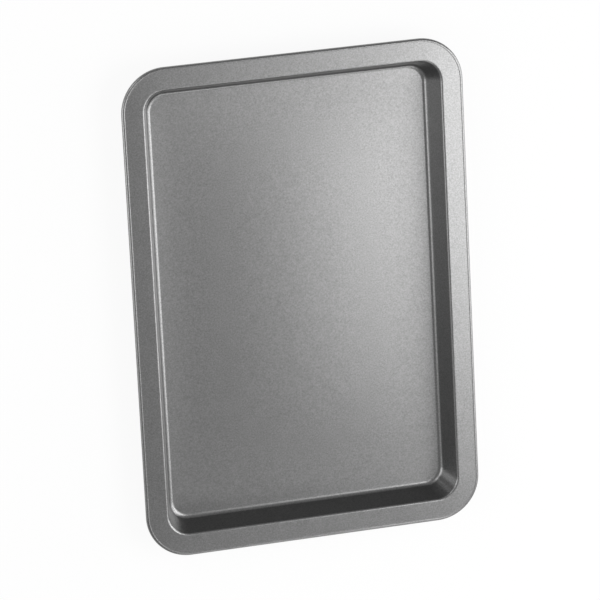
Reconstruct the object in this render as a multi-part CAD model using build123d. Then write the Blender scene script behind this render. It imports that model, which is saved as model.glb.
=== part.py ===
from build123d import *
from math import asin, atan2, cos, degrees, sqrt, tan
import os

# Non-stick cookie sheet: one steel blank pressed into a shallow tray with a wide flat rim.
# The edge of the rim is rolled round a wire, and the cooking side carries a coating.
# Lengths are in millimetres. +X runs across the tray, +Y along its length and +Z up.
# The origin is the middle of the flat underside that the tray rests on.

# Outline over the rolled edge
overall_width = 250.0
overall_length = 360.0
overall_height = 20.0
outer_corner_radius = 32.0

# Steel blank and its coating
sheet_thickness = 0.5
coating_thickness = 0.05

# Rim, wall and floor, measured on the upper face of the steel
rim_width = 16.2  # from the outer edge to the line where the flat rim and the wall would meet
wall_run = 6.2  # how far the wall leans in between the rim and the floor
mouth_corner_radius = 16.0  # corners of the opening, seen from above
floor_corner_radius = 13.0  # corners of the floor, which are a little tighter
mouth_bend_radius = 1.2  # inside the bend, under the rim
floor_bend_radius = 3.3  # inside the bend, on the cooking side

# Rolled edge and the wire that it holds
wire_diameter = 2.0
wire_clearance = 0.05
wire_end_gap = 1.5
bead_rise = 0.08  # how far the roll stands above the flat rim
neck_radius = 2.0
tuck_angle = 15.0  # how far the cut edge climbs behind the wire, in degrees

# Steel outline, inside the thickness of the coating
half_width = overall_width / 2 - coating_thickness
half_length = overall_length / 2 - coating_thickness
steel_corner_radius = outer_corner_radius - coating_thickness

# Heights of the steel
floor_top = sheet_thickness
rim_top = overall_height - coating_thickness - bead_rise
wall_height = rim_top - floor_top
draft = atan2(wall_run, wall_height)

# Rolled edge, measured on the middle of the sheet's thickness
middle_of_rim = rim_top - sheet_thickness / 2
bead_radius = wire_diameter / 2 + wire_clearance + sheet_thickness / 2
bead_outer_radius = bead_radius + sheet_thickness / 2
centre_distance = neck_radius + bead_radius
neck_run = sqrt(centre_distance**2 - (centre_distance - bead_rise) ** 2)
neck_turn = degrees(asin(neck_run / centre_distance))
bead_centre_height = middle_of_rim + bead_rise - bead_radius

# Line round the tray where the flat rim ends and the roll begins
neck_inset = bead_outer_radius + neck_run
neck_half_width = half_width - neck_inset
neck_half_length = half_length - neck_inset
neck_corner_radius = steel_corner_radius - neck_inset


def rounded_outline(half_x, half_y, radius, height):
    """A rounded rectangle lying flat at one height."""
    return Pos(0, 0, height) * RectangleRounded(2 * half_x, 2 * half_y, radius)


def space_above(depth):
    """All that lies above a surface of the tray, inside the neck line.

    The surface is depth above the upper face of the steel, or below it where depth is negative.
    """
    aside = depth / cos(draft)
    mouth_inset = rim_width + aside - depth * tan(draft)
    floor_inset = rim_width + aside + (wall_height - depth) * tan(draft)
    mouth_corner = mouth_corner_radius - aside
    floor_corner = floor_corner_radius - aside
    mouth = rounded_outline(half_width - mouth_inset, half_length - mouth_inset, mouth_corner, rim_top + depth)
    floor = rounded_outline(half_width - floor_inset, half_length - floor_inset, floor_corner, floor_top + depth)
    dish = loft([floor, mouth], ruled=True)
    dish = fillet(dish.edges().group_by(Axis.Z)[0], floor_bend_radius - depth)
    above_rim = rounded_outline(neck_half_width, neck_half_length, neck_corner_radius, rim_top + depth)
    space = dish + extrude(above_rim, amount=overall_height - rim_top - depth)
    rim_face = space.faces().filter_by(lambda face: face.inner_wires())[0]
    return fillet(rim_face.inner_wires()[0].edges(), mouth_bend_radius + sheet_thickness + depth)


def rolled_strip(low, high):
    """Section of a layer of the rolled edge, between two offsets from the middle of the sheet."""
    neck = (0, middle_of_rim + neck_radius)
    bead = (neck_run, bead_centre_height)
    bead_start = 90 + neck_turn
    bead_sweep = bead_start + 180 + tuck_angle
    upper_neck = CenterArc(neck, neck_radius - high, -90, neck_turn)
    upper_bead = CenterArc(bead, bead_radius + high, bead_start, -bead_sweep)
    lower_bead = CenterArc(bead, bead_radius + low, bead_start, -bead_sweep)
    lower_neck = CenterArc(neck, neck_radius - low, -90, neck_turn)
    cut_edge = Line(upper_bead @ 1, lower_bead @ 1)
    joining_edge = Line(upper_neck @ 0, lower_neck @ 0)
    outline = [upper_neck, upper_bead, cut_edge, lower_bead, lower_neck, joining_edge]
    return make_face([Plane.XZ * edge for edge in outline])


def run_round(section):
    """Carries a section round the neck line: four straight sides and four quarter turns."""
    straight_x = neck_half_width - neck_corner_radius
    straight_y = neck_half_length - neck_corner_radius
    quarter = revolve(Pos(neck_corner_radius, 0, 0) * section, Axis.Z, 90)
    ring = []
    for turn, out, along in ((0, neck_half_width, straight_y), (90, neck_half_length, straight_x)):
        for facing in (turn, turn + 180):
            side = extrude(Pos(out, 0, 0) * section, amount=along, both=True)
            ring.append(Rot(0, 0, facing) * side)
    for turn, x_sign, y_sign in ((0, 1, 1), (90, -1, 1), (180, -1, -1), (270, 1, -1)):
        ring.append(Pos(x_sign * straight_x, y_sign * straight_y, 0) * Rot(0, 0, turn) * quarter)
    return ring[0] + ring[1:]


def make_pressed_sheet():
    """The steel blank: floor, leaning wall, flat rim and the roll round the wire."""
    dished = space_above(-sheet_thickness) - space_above(0)
    rolled = run_round(rolled_strip(-sheet_thickness / 2, sheet_thickness / 2))
    return dished + rolled


def make_coating():
    """The film on the cooking side, from the floor over the rim and round the roll."""
    film = space_above(0) - space_above(coating_thickness)
    steel_face = sheet_thickness / 2
    return film + run_round(rolled_strip(steel_face, steel_face + coating_thickness))


def make_rim_wire():
    """The wire inside the roll, one loop whose two ends nearly meet in the middle of a short side."""
    section = Pos(neck_run, bead_centre_height) * Circle(wire_diameter / 2)
    loop = run_round(Plane.XZ * section)
    past_wire = 2 * wire_diameter
    gap = Pos(0, half_length - bead_outer_radius, bead_centre_height) * Box(wire_end_gap, past_wire, past_wire)
    return loop - gap


parts = {
    "pressed_sheet": make_pressed_sheet,
    "nonstick_coating": make_coating,
    "rim_wire": make_rim_wire,
}

os.makedirs("parts", exist_ok=True)
for name, make in parts.items():
    piece = make()
    export_step(piece, f"parts/{name}.step")
    print(name, len(piece.solids()), "solid,", round(piece.volume), "cubic mm")
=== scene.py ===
"""A non-stick cookie sheet, dressed for a plain studio picture.

One steel blank is pressed into a shallow tray with a wide flat rim. Its edge is rolled round a wire,
and the cooking side carries a dark coating full of fine metal flake. Lengths are in metres.
+X runs across the tray, +Y along its length, and +Z up from the underside that it rests on.
"""

import math

import bpy
from mathutils import Euler, Matrix, Vector


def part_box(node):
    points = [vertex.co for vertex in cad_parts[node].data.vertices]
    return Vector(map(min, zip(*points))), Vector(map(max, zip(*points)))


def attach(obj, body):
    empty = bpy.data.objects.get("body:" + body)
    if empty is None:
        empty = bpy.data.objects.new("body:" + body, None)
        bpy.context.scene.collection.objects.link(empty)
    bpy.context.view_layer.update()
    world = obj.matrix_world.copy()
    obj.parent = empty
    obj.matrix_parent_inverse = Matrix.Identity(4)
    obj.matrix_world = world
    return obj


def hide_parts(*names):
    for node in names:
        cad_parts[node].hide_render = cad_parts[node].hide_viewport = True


MM = 0.001

# Sheet, coating and bends
SHEET_THICKNESS = 0.5 * MM
COATING_THICKNESS = 0.05 * MM
RIM_WIDTH = 16.2 * MM
WALL_RUN = 6.2 * MM
MOUTH_CORNER_RADIUS = 16.0 * MM
FLOOR_CORNER_RADIUS = 13.0 * MM
MOUTH_BEND_RADIUS = 1.2 * MM
FLOOR_BEND_RADIUS = 3.3 * MM
OUTER_CORNER_RADIUS = 31.95 * MM  # of the steel, under the coating

# A pressed sheet springs a little: its rim droops outwards, its floor rises to the wall over a
# margin, and the middle of the floor stands in a crown that begins at an inset from the edge
SPRING_RISE = 0.3 * MM
SPRING_MARGIN = 24.0 * MM
CROWN_HEIGHT = 1.2 * MM
CROWN_INSET = 27.4 * MM

# Rolled edge
WIRE_DIAMETER = 2.0 * MM
WIRE_CLEARANCE = 0.05 * MM
BEAD_RISE = 0.08 * MM
NECK_RADIUS = 2.0 * MM
TUCK_ANGLE = math.radians(15.0)

# Fineness of the mesh
CORNER_STEPS = 24
BEND_STEPS = 10
NECK_STEPS = 4
BEAD_STEPS = 36
LONG_SIDE_CUTS = 17
SHORT_SIDE_CUTS = 11
FLOOR_RINGS = 24
MIDDLE_CUTS = 4
HOLDING_EDGE = 0.3 * MM  # a short level run that keeps a flat face flat beside its bend
LEAST_RUN = 10.0 * MM  # half of the straight run left across the middle of the floor
HAIR = 0.001 * MM  # anything shorter counts as nothing
SAME_SCALE = 1e-9  # a smaller change of scale counts as none
SHARP_ANGLE = math.radians(40.0)

# Camera
CAMERA_PLACE = Vector((-0.8190, 0.8975, 3.0357))
CAMERA_TARGET = Vector((-0.0032, -0.0002, 0.020))
CAMERA_LENS = 273.6
CAMERA_ROLL = math.radians(-2.92)

# Studio
FLOOR_SIZE = 20.0
FLOOR_GLOW = 0.92
FLOOR_DROP = 0.2 * MM
STUDIO_WHITE = 0.9
STUDIO_ROUGHNESS = 0.9
WORLD_LEVEL = 0.34
LIGHT_DISTANCE = 1.2

# Coating: its flake, grain and cloudy patches, and how rough it is from patch to patch
FLAKE_SIZE = 1.1 * MM
FLAKE_SHARE = 0.93  # of the change from dark to light; the patches make the rest
GRAIN_SIZE = 1.2 * MM
GRAIN_HEIGHT = 0.02 * MM
CLOUD_SIZE = 12 * MM
COATING_DARK, COATING_LIGHT = 0.095, 0.40
COATING_ROUGHNESS, COATING_ROUGHNESS_CHANGE = 0.33, 0.02

# Underside of the steel, and the wire
BACK_METAL = 0.6
BACK_DARK, BACK_LIGHT = 0.10, 0.145
BACK_ROUGHNESS, BACK_ROUGHNESS_CHANGE = 0.42, 0.1
STAIN_SIZE = 2 * MM
WIRE_DARK, WIRE_LIGHT = 0.35, 0.5
WIRE_ROUGHNESS, WIRE_ROUGHNESS_CHANGE = 0.3, 0.15

# Places of the colour sockets on a Mix node, which also has sockets for numbers and vectors
MIX_SHARE, MIX_FIRST, MIX_SECOND = 0, 6, 7
MIX_RESULT = 2

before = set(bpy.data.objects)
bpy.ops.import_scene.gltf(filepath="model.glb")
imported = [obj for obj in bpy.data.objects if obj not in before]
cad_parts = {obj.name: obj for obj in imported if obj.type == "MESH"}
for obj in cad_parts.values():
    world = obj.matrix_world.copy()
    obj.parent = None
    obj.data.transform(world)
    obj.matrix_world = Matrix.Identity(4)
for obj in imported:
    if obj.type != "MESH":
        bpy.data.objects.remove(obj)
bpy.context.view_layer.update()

# Outline of the steel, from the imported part
STEEL_LOW, STEEL_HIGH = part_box("pressed_sheet")
HALF_WIDTH = STEEL_HIGH.x
HALF_LENGTH = STEEL_HIGH.y
FLOOR_TOP = STEEL_LOW.z + SHEET_THICKNESS
RIM_TOP = STEEL_HIGH.z - BEAD_RISE
DRAFT = math.atan2(WALL_RUN, RIM_TOP - FLOOR_TOP)

# Rolled edge, on the middle of the sheet's thickness
BEAD_RADIUS = WIRE_DIAMETER / 2 + WIRE_CLEARANCE + SHEET_THICKNESS / 2
CENTRE_DISTANCE = NECK_RADIUS + BEAD_RADIUS
NECK_RUN = math.sqrt(CENTRE_DISTANCE**2 - (CENTRE_DISTANCE - BEAD_RISE) ** 2)
NECK_TURN = math.asin(NECK_RUN / CENTRE_DISTANCE)
NECK_INSET = BEAD_RADIUS + SHEET_THICKNESS / 2 + NECK_RUN
RIM_MIDDLE = RIM_TOP - SHEET_THICKNESS / 2
BEAD_MIDDLE = RIM_MIDDLE + BEAD_RISE - BEAD_RADIUS


def steps(first, last, count):
    """Evenly spaced values from first to last, both included."""
    return [first + (last - first) * i / count for i in range(count + 1)]


def arc(centre_inset, centre_height, radius, angles):
    """Points of a bend as (inset from the outer edge, height).

    The angle leans inwards from straight up.
    """
    return [
        (centre_inset + radius * math.sin(angle), centre_height + radius * math.cos(angle))
        for angle in angles
    ]


def wall_inset(depth, height):
    """Inset of the leaning wall at a height, for a surface depth above the steel's upper face."""
    return RIM_WIDTH + depth / math.cos(DRAFT) + (RIM_TOP - height) * math.tan(DRAFT)


def spring_rise(inset):
    """How far the sprung sheet lies above its nominal height.

    It rises inwards over the rim and falls again over the margin of the floor.
    """
    up_rim = (inset - NECK_INSET) / (RIM_WIDTH - NECK_INSET)
    down_floor = 1 - (inset - RIM_WIDTH - WALL_RUN) / SPRING_MARGIN
    return SPRING_RISE * min(max(up_rim, 0), 1) * min(max(down_floor, 0), 1) ** 2


def crown_rise(place):
    """How far the crown lifts the floor. It is level in the middle and again at its edge."""
    across = min(abs(place.x) / (HALF_WIDTH - CROWN_INSET), 1)
    along = min(abs(place.y) / (HALF_LENGTH - CROWN_INSET), 1)
    return CROWN_HEIGHT * (1 - across**2) ** 2 * (1 - along**4) ** 2


def dish_corner(depth, inset):
    """Corner radius of the dish at an inset. It shrinks evenly from the mouth to the floor."""
    mouth_inset = wall_inset(depth, RIM_TOP + depth)
    taper = (FLOOR_CORNER_RADIUS - MOUTH_CORNER_RADIUS) / WALL_RUN
    return MOUTH_CORNER_RADIUS - depth / math.cos(DRAFT) + taper * (inset - mouth_inset)


def dish_section(depth):
    """Stations of the dish, from the middle of the floor out to the rolled edge.

    Each is (inset, height, corner radius).
    """
    upright = math.pi / 2 - DRAFT
    floor = FLOOR_TOP + depth
    floor_radius = FLOOR_BEND_RADIUS - depth
    floor_centre = wall_inset(depth, floor + floor_radius) + floor_radius / math.cos(DRAFT)
    mouth_radius = MOUTH_BEND_RADIUS + SHEET_THICKNESS + depth
    mouth_height = RIM_TOP + depth - mouth_radius
    mouth_centre = wall_inset(depth, mouth_height) - mouth_radius / math.cos(DRAFT)
    floor_angles = steps(math.pi, math.pi + upright, BEND_STEPS)
    mouth_angles = steps(upright, 0, BEND_STEPS)
    innermost = HALF_WIDTH - FLOOR_CORNER_RADIUS - LEAST_RUN
    floor_insets = steps(innermost, floor_centre + HOLDING_EDGE, FLOOR_RINGS)
    points = [(inset, floor) for inset in floor_insets]
    points += arc(floor_centre, floor + floor_radius, floor_radius, floor_angles)
    points += arc(mouth_centre, mouth_height, mouth_radius, mouth_angles)
    points.append((mouth_centre - HOLDING_EDGE, RIM_TOP + depth))
    stations = [
        (inset, height, dish_corner(depth, min(inset, floor_centre))) for inset, height in points
    ]
    rim_edge = NECK_INSET + HOLDING_EDGE
    stations.append((rim_edge, RIM_TOP + depth, OUTER_CORNER_RADIUS - rim_edge))
    return [(inset, height + spring_rise(inset), radius) for inset, height, radius in stations]


def roll_section(offset):
    """Stations of the rolled edge, from the rim round to the tucked end.

    The offset is from the middle of the sheet's thickness.
    """
    neck_angles = steps(math.pi, math.pi + NECK_TURN, NECK_STEPS)
    bead_angles = steps(NECK_TURN, -1.5 * math.pi - TUCK_ANGLE, BEAD_STEPS)
    points = arc(NECK_INSET, RIM_MIDDLE + NECK_RADIUS, NECK_RADIUS - offset, neck_angles)
    points += arc(NECK_INSET - NECK_RUN, BEAD_MIDDLE, BEAD_RADIUS + offset, bead_angles)[1:]
    return [(inset, height, OUTER_CORNER_RADIUS - inset) for inset, height in points]


def layer_section(bottom, top):
    """Closed section of a layer: its upper face outwards, its edge, and its lower face back."""
    middle = SHEET_THICKNESS / 2
    upper = dish_section(top) + roll_section(middle + top)
    lower = dish_section(bottom) + roll_section(middle + bottom)
    return upper + lower[::-1]


def deselect_all():
    """Leaves nothing selected, so that the next operator acts on new work only."""
    for item in bpy.context.selected_objects:
        item.select_set(False)


def select_where(piece, kind, wanted):
    """Selects, in edit mode, the vertices, edges or faces whose points pass a test."""
    bpy.ops.object.mode_set(mode="OBJECT")
    mesh = piece.data
    for group in (mesh.vertices, mesh.edges, mesh.polygons):
        for item in group:
            item.select = False
    corners = [vertex.co for vertex in mesh.vertices]
    for item in getattr(mesh, kind):
        members = [item.index] if kind == "vertices" else item.vertices
        item.select = wanted([corners[i] for i in members])
    bpy.ops.object.mode_set(mode="EDIT")


def start_corner(name, station):
    """A quarter of the outline as a line.

    A plane's corner is rounded, and then only its two outer sides are kept.
    """
    inset, height, radius = station
    spare = 2 * HALF_LENGTH
    deselect_all()
    bpy.ops.mesh.primitive_plane_add(size=2, location=(0, 0, 0))
    piece = bpy.context.active_object
    piece.name = name
    bpy.ops.object.mode_set(mode="EDIT")
    bpy.ops.mesh.select_mode(type="VERT")
    size = ((HALF_WIDTH - inset + spare) / 2, (HALF_LENGTH - inset + spare) / 2, 1)
    bpy.ops.transform.resize(value=size, center_override=(0, 0, 0))
    place = (HALF_WIDTH - inset - size[0], HALF_LENGTH - inset - size[1], height)
    bpy.ops.transform.translate(value=place)
    select_where(piece, "vertices", lambda points: points[0].x > 0 and points[0].y > 0)
    bpy.ops.mesh.bevel(affect="VERTICES", offset=radius, segments=CORNER_STEPS, profile=0.5)
    select_where(piece, "vertices", lambda points: points[0].x < 0 and points[0].y < 0)
    bpy.ops.mesh.delete(type="VERT")
    select_where(piece, "edges", lambda points: True)
    return piece


def add_station(before, after):
    """Extrudes the selected line to the next station, scaled about its corner's centre."""
    def centre(station):
        reach = station[0] + station[2]
        return Vector((HALF_WIDTH - reach, HALF_LENGTH - reach, station[1]))

    scale = after[2] / before[2]
    bpy.ops.mesh.extrude_region_move()
    if abs(scale - 1) > SAME_SCALE:
        bpy.ops.transform.resize(value=(scale, scale, 1), center_override=centre(before))
    bpy.ops.transform.translate(value=centre(after) - centre(before))


def build_layer(name, bottom, top):
    """One layer of the tray, still open in the middle of the floor.

    A quarter of the outline is run through the section and mirrored both ways.
    """
    section = layer_section(bottom, top)
    piece = start_corner(name, section[0])
    for before, after in zip(section, section[1:]):
        add_station(before, after)
    bpy.ops.mesh.select_all(action="SELECT")
    bpy.ops.mesh.bisect(plane_co=(0, 0, 0), plane_no=(1, 0, 0), clear_inner=True)
    bpy.ops.mesh.select_all(action="SELECT")
    bpy.ops.mesh.bisect(plane_co=(0, 0, 0), plane_no=(0, 1, 0), clear_inner=True)
    bpy.ops.object.mode_set(mode="OBJECT")
    mirror = piece.modifiers.new("four quarters", "MIRROR")
    mirror.use_axis = (True, True, False)
    mirror.merge_threshold = HAIR
    bpy.ops.object.modifier_apply(modifier=mirror.name)
    bpy.ops.object.mode_set(mode="EDIT")
    return piece


def runs_along(points, along, across):
    """True for an edge of a straight side, along one axis and off the middle of the other."""
    step = points[1] - points[0]
    level = abs(step.z) < HAIR and abs(step[across]) < HAIR
    return level and abs(step[along]) > LEAST_RUN / 2 and abs(points[0][across]) > HAIR


def cut_middle():
    """Cuts the two middles of the floor, which are filled and selected, into small faces."""
    bpy.ops.object.vertex_group_assign_new()
    for axis, half, cuts in ((0, HALF_WIDTH, MIDDLE_CUTS), (1, HALF_LENGTH, LONG_SIDE_CUTS + 1)):
        reach = half - HALF_WIDTH + LEAST_RUN
        normal = Vector((1 - axis, axis, 0))
        for place in steps(-reach, reach, cuts):
            bpy.ops.mesh.select_all(action="DESELECT")
            bpy.ops.object.vertex_group_select()
            bpy.ops.mesh.bisect(plane_co=place * normal, plane_no=normal)
    bpy.ops.object.vertex_group_remove(all=True)


def crown_floor(piece):
    """Lifts the middle of the floor into its crown."""
    for vertex in piece.data.vertices:
        vertex.co.z += crown_rise(vertex.co)


def finish_layer(piece):
    """Closes a layer and smooths it.

    The straight sides are cut finer, the two middles of the floor are filled and crowned, and
    all faces are turned outwards.
    """
    bpy.ops.mesh.select_mode(type="EDGE")
    for along, across, cuts in ((0, 1, SHORT_SIDE_CUTS), (1, 0, LONG_SIDE_CUTS)):
        select_where(piece, "edges", lambda points: runs_along(points, along, across))
        bpy.ops.mesh.subdivide(number_cuts=cuts)
    bpy.ops.mesh.select_all(action="DESELECT")
    bpy.ops.mesh.select_non_manifold(
        extend=False, use_wire=False, use_boundary=True, use_multi_face=False,
        use_non_contiguous=False, use_verts=False)
    bpy.ops.mesh.edge_face_add()
    cut_middle()
    bpy.ops.mesh.select_all(action="SELECT")
    bpy.ops.mesh.normals_make_consistent(inside=False)
    bpy.ops.object.mode_set(mode="OBJECT")
    crown_floor(piece)
    bpy.ops.object.shade_smooth_by_angle(angle=SHARP_ANGLE)
    return piece


class Value:
    """A socket in a material. Arithmetic on it adds Math nodes."""

    def __init__(self, finish, socket):
        self.finish = finish
        self.socket = socket

    def math(self, operation, *others):
        return self.finish.node("ShaderNodeMath", {"operation": operation}, (self, *others))

    def __add__(self, other):
        return self.math("ADD", other)

    def __mul__(self, other):
        return self.math("MULTIPLY", other)

    __radd__ = __add__
    __rmul__ = __mul__


class Finish:
    """A material being made: its nodes and its surface shader."""

    def __init__(self, name, **constants):
        self.material = bpy.data.materials.new(name)
        self.material.use_nodes = True
        self.tree = self.material.node_tree
        self.shader = self.tree.nodes["Principled BSDF"]
        for socket, value in constants.items():
            self.shader.inputs[socket.replace("_", " ")].default_value = value

    def node(self, kind, settings=None, inputs=(), output=0):
        """Adds a node: its settings, then a value or a link for each input, by place or name."""
        node = self.tree.nodes.new(kind)
        for name, value in (settings or {}).items():
            setattr(node, name, value)
        pairs = inputs.items() if isinstance(inputs, dict) else enumerate(inputs)
        for key, value in pairs:
            self.feed(node.inputs[key], value)
        return Value(self, node.outputs[output])

    def feed(self, socket, value):
        """Links a value to a socket, or writes a plain number or colour on it."""
        if isinstance(value, Value):
            self.tree.links.new(value.socket, socket)
        else:
            socket.default_value = value

    def set(self, name, value):
        """Links or writes one input of the surface shader."""
        self.feed(self.shader.inputs[name], value)

    def cover(self, share, other):
        """Lays a share of another shader over what the surface has so far."""
        surface = self.tree.nodes["Material Output"].inputs["Surface"]
        own = Value(self, surface.links[0].from_socket)
        self.feed(surface, self.node("ShaderNodeMixShader", inputs=(share, own, other)))

    def place(self):
        """The place of the point on the piece, in metres."""
        return self.node("ShaderNodeTexCoord", output="Object")

    def noise(self, size, detail=2.0, roughness=0.5):
        """Soft random spots about as large as size, from 0 to 1."""
        inputs = {"Vector": self.place(), "Scale": 1 / size, "Detail": detail,
                  "Roughness": roughness}
        return self.node("ShaderNodeTexNoise", inputs=inputs)

    def grain(self, size, height):
        """Raises small bumps about as wide as size, up to a height."""
        bumps = self.node("ShaderNodeBump", inputs={"Distance": height, "Height": self.noise(size)})
        self.set("Normal", bumps)

    def blend(self, share, first, second):
        """Mixes two colours."""
        inputs = {MIX_SHARE: share, MIX_FIRST: first, MIX_SECOND: second}
        return self.node("ShaderNodeMix", {"data_type": "RGBA"}, inputs, output=MIX_RESULT)


def grey(level):
    """A neutral colour."""
    return (level, level, level, 1.0)


def nonstick_finish():
    """Dark grey coating full of fine metal flake, with a soft sheen and faint cloudy patches."""
    finish = Finish("nonstick_face", Metallic=1.0)
    flake = finish.noise(FLAKE_SIZE, detail=3.0, roughness=0.7)
    cloud = finish.noise(CLOUD_SIZE)
    share = FLAKE_SHARE * flake + (1 - FLAKE_SHARE) * cloud
    finish.set("Base Color", finish.blend(share, grey(COATING_DARK), grey(COATING_LIGHT)))
    finish.set("Roughness", COATING_ROUGHNESS + COATING_ROUGHNESS_CHANGE * cloud)
    finish.grain(GRAIN_SIZE, GRAIN_HEIGHT)
    return finish.material


def back_finish():
    """Plainer, duller coat on the underside of the steel."""
    finish = Finish("coated_steel_back", Metallic=BACK_METAL)
    cloud = finish.noise(CLOUD_SIZE)
    finish.set("Base Color", finish.blend(cloud, grey(BACK_DARK), grey(BACK_LIGHT)))
    finish.set("Roughness", BACK_ROUGHNESS + BACK_ROUGHNESS_CHANGE * cloud)
    finish.grain(GRAIN_SIZE, GRAIN_HEIGHT)
    return finish.material


def wire_finish():
    """Bare drawn steel wire, a little stained."""
    finish = Finish("bare_wire", Metallic=1.0)
    stain = finish.noise(STAIN_SIZE)
    finish.set("Base Color", finish.blend(stain, grey(WIRE_DARK), grey(WIRE_LIGHT)))
    finish.set("Roughness", WIRE_ROUGHNESS + WIRE_ROUGHNESS_CHANGE * stain)
    return finish.material


def floor_finish():
    """White floor that is clear from below, and glows plain white to the eye and in reflections.

    The tray's shadow still darkens it a little. The glow isn't sampled as a lamp.
    """
    white = grey(STUDIO_WHITE)
    finish = Finish("studio_floor", Base_Color=white, Roughness=STUDIO_ROUGHNESS)
    finish.material.cycles.emission_sampling = "NONE"
    eye = finish.node("ShaderNodeLightPath", output="Is Camera Ray")
    reflected = finish.node("ShaderNodeLightPath", output="Is Glossy Ray")
    through = finish.node("ShaderNodeLightPath", output="Is Transmission Ray")
    glow = finish.node("ShaderNodeEmission", inputs={"Color": grey(1.0), "Strength": 1.0})
    finish.cover(FLOOR_GLOW * (eye + reflected + through), glow)
    below = finish.node("ShaderNodeNewGeometry", output="Backfacing")
    finish.cover(below, finish.node("ShaderNodeBsdfTransparent"))
    return finish.material


def dress(piece, material):
    """Gives the piece one material all over."""
    piece.data.materials.clear()
    piece.data.materials.append(material)


def add_floor():
    """Lays the studio floor just under the tray."""
    deselect_all()
    bpy.ops.mesh.primitive_plane_add(size=FLOOR_SIZE, location=(0, 0, -FLOOR_DROP))
    floor = bpy.context.active_object
    floor.name = "studio_floor"
    dress(floor, floor_finish())


def add_camera():
    """Looks steeply down from beyond the upper left corner, rolled a little to the left."""
    forward = (CAMERA_TARGET - CAMERA_PLACE).normalized()
    right = forward.cross(Vector((0, 1, 0))).normalized()
    up = right.cross(forward)
    level = Matrix((right, up, -forward)).transposed()
    data = bpy.data.cameras.new("camera")
    data.lens = CAMERA_LENS
    camera = bpy.data.objects.new("camera", data)
    turn = (level @ Matrix.Rotation(CAMERA_ROLL, 3, "Z")).to_4x4()
    camera.matrix_world = Matrix.Translation(CAMERA_PLACE) @ turn
    bpy.context.scene.collection.objects.link(camera)
    bpy.context.scene.camera = camera


def add_softbox(name, azimuth, elevation, width, height, level):
    """A soft light that faces the tray from a direction in degrees.

    At a level of 1 its face looks plain white.
    """
    data = bpy.data.lights.new(name, "AREA")
    data.shape = "RECTANGLE"
    data.size = width
    data.size_y = height
    data.energy = level * math.pi * width * height
    turn = Euler((math.radians(90 - elevation), 0, math.radians(90 + azimuth))).to_matrix()
    light = bpy.data.objects.new(name, data)
    light.matrix_world = Matrix.Translation(turn @ Vector((0, 0, LIGHT_DISTANCE))) @ turn.to_4x4()
    light.visible_camera = False
    bpy.context.scene.collection.objects.link(light)


def add_world(level):
    """An even white surround."""
    world = bpy.data.worlds.new("studio")
    world.use_nodes = True
    background = world.node_tree.nodes["Background"]
    background.inputs["Color"].default_value = grey(1.0)
    background.inputs["Strength"].default_value = level
    bpy.context.scene.world = world


sheet = finish_layer(build_layer("tray_steel", -SHEET_THICKNESS, 0))
dress(sheet, back_finish())
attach(sheet, "root")
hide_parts("pressed_sheet")

coating = finish_layer(build_layer("tray_coating", 0, COATING_THICKNESS))
dress(coating, nonstick_finish())
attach(coating, "root")
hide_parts("nonstick_coating")

dress(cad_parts["rim_wire"], wire_finish())

add_floor()
add_world(WORLD_LEVEL)
add_softbox("key_light", azimuth=-6, elevation=46, width=0.96, height=0.34, level=4.35)
add_softbox("high_key_light", azimuth=-6, elevation=62, width=0.65, height=0.34, level=4.35)
add_softbox("near_light", azimuth=-72, elevation=38, width=0.61, height=0.34, level=2.9)
add_softbox("left_light", azimuth=180, elevation=25, width=0.60, height=0.75, level=3.0)
add_softbox("low_right_light", azimuth=0, elevation=16, width=0.90, height=0.62, level=2.7)
add_softbox("far_left_light", azimuth=136, elevation=36, width=0.30, height=0.80, level=2.5)
add_camera()
bpy.context.scene.view_settings.view_transform = "Standard"
